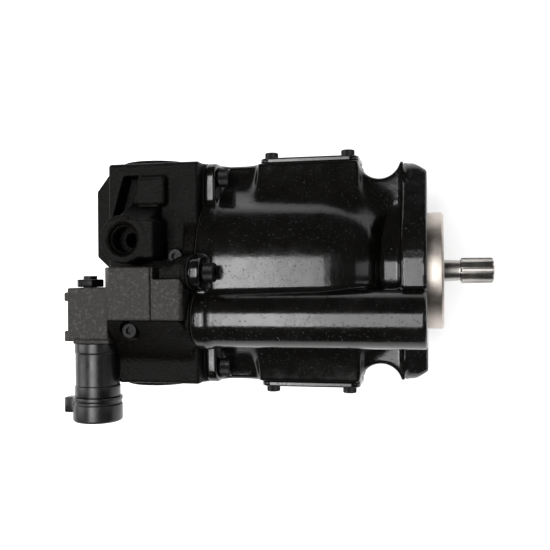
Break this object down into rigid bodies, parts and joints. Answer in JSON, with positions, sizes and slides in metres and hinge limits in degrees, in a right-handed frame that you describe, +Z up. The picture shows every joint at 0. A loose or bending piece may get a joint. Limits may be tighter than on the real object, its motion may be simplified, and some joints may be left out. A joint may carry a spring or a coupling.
{
  "type": "axial piston pump",
  "caption": "Variable displacement axial piston pump with a two-bolt flange, splined shaft, pressure compensator and solenoid pilot valve.",
  "frame": {"origin": "drive shaft axis in the plane of the mounting face", "axes": "+X out along the drive shaft, +Y towards the inlet port, +Z up through the control side"},
  "size_m": [0.369, 0.2343, 0.194],
  "materials": {
    "black_enamel": "gloss black enamel over a sand casting",
    "rough_casting": "satin black paint over rough cast iron",
    "black_screws": "black oxide and black paint",
    "gasket": "matt compressed fibre",
    "shaft_steel": "bright hobbed and ground steel",
    "bearing_steel": "ground",
    "seal_rubber": "moulded nitrile",
    "spring_steel": "oil tempered wire",
    "ground_steel": "ground and lapped",
    "bronze": "lapped bronze",
    "black_plastic": "moulded, satin"
  },
  "bodies": {
    "housing": {"main_housing": "black_enamel", "trunnion_cover_top": "black_enamel", "trunnion_cover_bottom": "black_enamel", "end_cover": "rough_casting", "compensator_block": "rough_casting", "compensator_cap": "rough_casting", "pilot_valve_body": "rough_casting", "cover_screw_top_1": "black_screws", "cover_screw_top_2": "black_screws", "cover_screw_top_3": "black_screws", "cover_screw_top_4": "black_screws", "cover_screw_bottom_1": "black_screws", "cover_screw_bottom_2": "black_screws", "cover_screw_bottom_3": "black_screws", "cover_screw_bottom_4": "black_screws", "case_screw_1": "black_screws", "case_screw_2": "black_screws", "case_screw_3": "black_screws", "case_screw_4": "black_screws", "case_screw_5": "black_screws", "case_screw_6": "black_screws", "compensator_screw_1": "black_screws", "compensator_screw_2": "black_screws", "drain_plug": "black_screws", "case_gasket": "gasket", "front_bearing_cup": "bearing_steel", "rear_bearing_ring": "bearing_steel", "trunnion_bearing_top": "bearing_steel", "trunnion_bearing_bottom": "bearing_steel", "shaft_seal": "seal_rubber", "retaining_ring": "spring_steel", "bias_spring": "spring_steel", "compensator_spring": "spring_steel", "valve_plate": "bronze", "solenoid_coil": "black_plastic", "connector_shell": "black_plastic"},
    "rotor": {"drive_shaft": "shaft_steel", "front_bearing_cone": "bearing_steel", "cylinder_block": "ground_steel", "block_spring": "spring_steel"},
    "front_rollers": {"front_bearing_rollers": "bearing_steel"},
    "rear_rollers": {"rear_bearing_rollers": "bearing_steel"},
    "swashplate": {"swashplate": "ground_steel", "wear_plate": "bronze"},
    "piston_1": {"piston_1": "ground_steel"},
    "piston_2": {"piston_2": "ground_steel"},
    "piston_3": {"piston_3": "ground_steel"},
    "piston_4": {"piston_4": "ground_steel"},
    "piston_5": {"piston_5": "ground_steel"},
    "piston_6": {"piston_6": "ground_steel"},
    "piston_7": {"piston_7": "ground_steel"},
    "piston_8": {"piston_8": "ground_steel"},
    "piston_9": {"piston_9": "ground_steel"},
    "shoe_retainer": {"shoe_retainer_plate": "ground_steel"},
    "ball_guide": {"ball_guide": "bronze"},
    "control_piston": {"control_piston": "ground_steel"},
    "bias_piston": {"bias_piston": "ground_steel"},
    "compensator_spool": {"compensator_spool": "ground_steel"},
    "pilot_spool": {"pilot_spool": "ground_steel"},
    "adjusting_screw": {"adjusting_screw": "black_screws"}
  },
  "joints": [
    {"name": "shaft_spin", "type": "hinge", "parent": "housing", "child": "rotor", "pos_m": [0, 0, 0], "axis": [1, 0, 0], "continuous": true},
    {"name": "front_cage_spin", "type": "hinge", "parent": "housing", "child": "front_rollers", "pos_m": [0, 0, 0], "axis": [1, 0, 0], "continuous": true},
    {"name": "rear_cage_spin", "type": "hinge", "parent": "housing", "child": "rear_rollers", "pos_m": [0, 0, 0], "axis": [1, 0, 0], "continuous": true},
    {"name": "swash_tilt", "type": "hinge", "parent": "housing", "child": "swashplate", "pos_m": [-0.106, 0, 0], "axis": [0, 1, 0], "range_deg": [0, 17]},
    {"name": "piston_1_slide", "type": "slide", "parent": "rotor", "child": "piston_1", "axis": [-1, 0, 0], "range_m": [0, 0.0139]},
    {"name": "piston_2_slide", "type": "slide", "parent": "rotor", "child": "piston_2", "axis": [-1, 0, 0], "range_m": [0, 0.0139]},
    {"name": "piston_3_slide", "type": "slide", "parent": "rotor", "child": "piston_3", "axis": [-1, 0, 0], "range_m": [0, 0.0139]},
    {"name": "piston_4_slide", "type": "slide", "parent": "rotor", "child": "piston_4", "axis": [-1, 0, 0], "range_m": [0, 0.0139]},
    {"name": "piston_5_slide", "type": "slide", "parent": "rotor", "child": "piston_5", "axis": [-1, 0, 0], "range_m": [0, 0.0139]},
    {"name": "piston_6_slide", "type": "slide", "parent": "rotor", "child": "piston_6", "axis": [-1, 0, 0], "range_m": [0, 0.0139]},
    {"name": "piston_7_slide", "type": "slide", "parent": "rotor", "child": "piston_7", "axis": [-1, 0, 0], "range_m": [0, 0.0139]},
    {"name": "piston_8_slide", "type": "slide", "parent": "rotor", "child": "piston_8", "axis": [-1, 0, 0], "range_m": [0, 0.0139]},
    {"name": "piston_9_slide", "type": "slide", "parent": "rotor", "child": "piston_9", "axis": [-1, 0, 0], "range_m": [0, 0.0139]},
    {"name": "shoe_retainer_slide", "type": "slide", "parent": "rotor", "child": "shoe_retainer", "axis": [-1, 0, 0], "range_m": [0, 0.0139]},
    {"name": "ball_guide_slide", "type": "slide", "parent": "rotor", "child": "ball_guide", "axis": [-1, 0, 0], "range_m": [0, 0.0139], "deforming": ["block_spring"]},
    {"name": "control_piston_slide", "type": "slide", "parent": "housing", "child": "control_piston", "axis": [1, 0, 0], "range_m": [0, 0.0185]},
    {"name": "bias_piston_slide", "type": "slide", "parent": "housing", "child": "bias_piston", "axis": [1, 0, 0], "range_m": [0, 0.0185], "deforming": ["bias_spring"]},
    {"name": "compensator_spool_slide", "type": "slide", "parent": "housing", "child": "compensator_spool", "axis": [1, 0, 0], "range_m": [0, 0.003], "stiffness_N_per_m": 2500, "deforming": ["compensator_spring"]},
    {"name": "pilot_spool_slide", "type": "slide", "parent": "housing", "child": "pilot_spool", "axis": [0, 1, 0], "range_m": [0, 0.002], "stiffness_N_per_m": 2000},
    {"name": "adjusting_screw_turn", "type": "hinge", "parent": "housing", "child": "adjusting_screw", "pos_m": [-0.2907, 0, 0.06], "axis": [0, 1, 0], "range_deg": [-180, 180]}
  ],
  "couplings": [
    {"joint": "front_cage_spin", "follows": "shaft_spin", "ratio": 0.42},
    {"joint": "rear_cage_spin", "follows": "shaft_spin", "ratio": 0.41},
    {"joint": "piston_1_slide", "follows": "swash_tilt", "m_per_rad": 0.046511},
    {"joint": "piston_2_slide", "follows": "swash_tilt", "m_per_rad": 0.046511},
    {"joint": "piston_3_slide", "follows": "swash_tilt", "m_per_rad": 0.046511},
    {"joint": "piston_4_slide", "follows": "swash_tilt", "m_per_rad": 0.046511},
    {"joint": "piston_5_slide", "follows": "swash_tilt", "m_per_rad": 0.046511},
    {"joint": "piston_6_slide", "follows": "swash_tilt", "m_per_rad": 0.046511},
    {"joint": "piston_7_slide", "follows": "swash_tilt", "m_per_rad": 0.046511},
    {"joint": "piston_8_slide", "follows": "swash_tilt", "m_per_rad": 0.046511},
    {"joint": "piston_9_slide", "follows": "swash_tilt", "m_per_rad": 0.046511},
    {"joint": "shoe_retainer_slide", "follows": "swash_tilt", "m_per_rad": 0.046511},
    {"joint": "ball_guide_slide", "follows": "swash_tilt", "m_per_rad": 0.046511},
    {"joint": "control_piston_slide", "follows": "swash_tilt", "m_per_rad": 0.061094},
    {"joint": "bias_piston_slide", "follows": "swash_tilt", "m_per_rad": 0.061094}
  ]
}
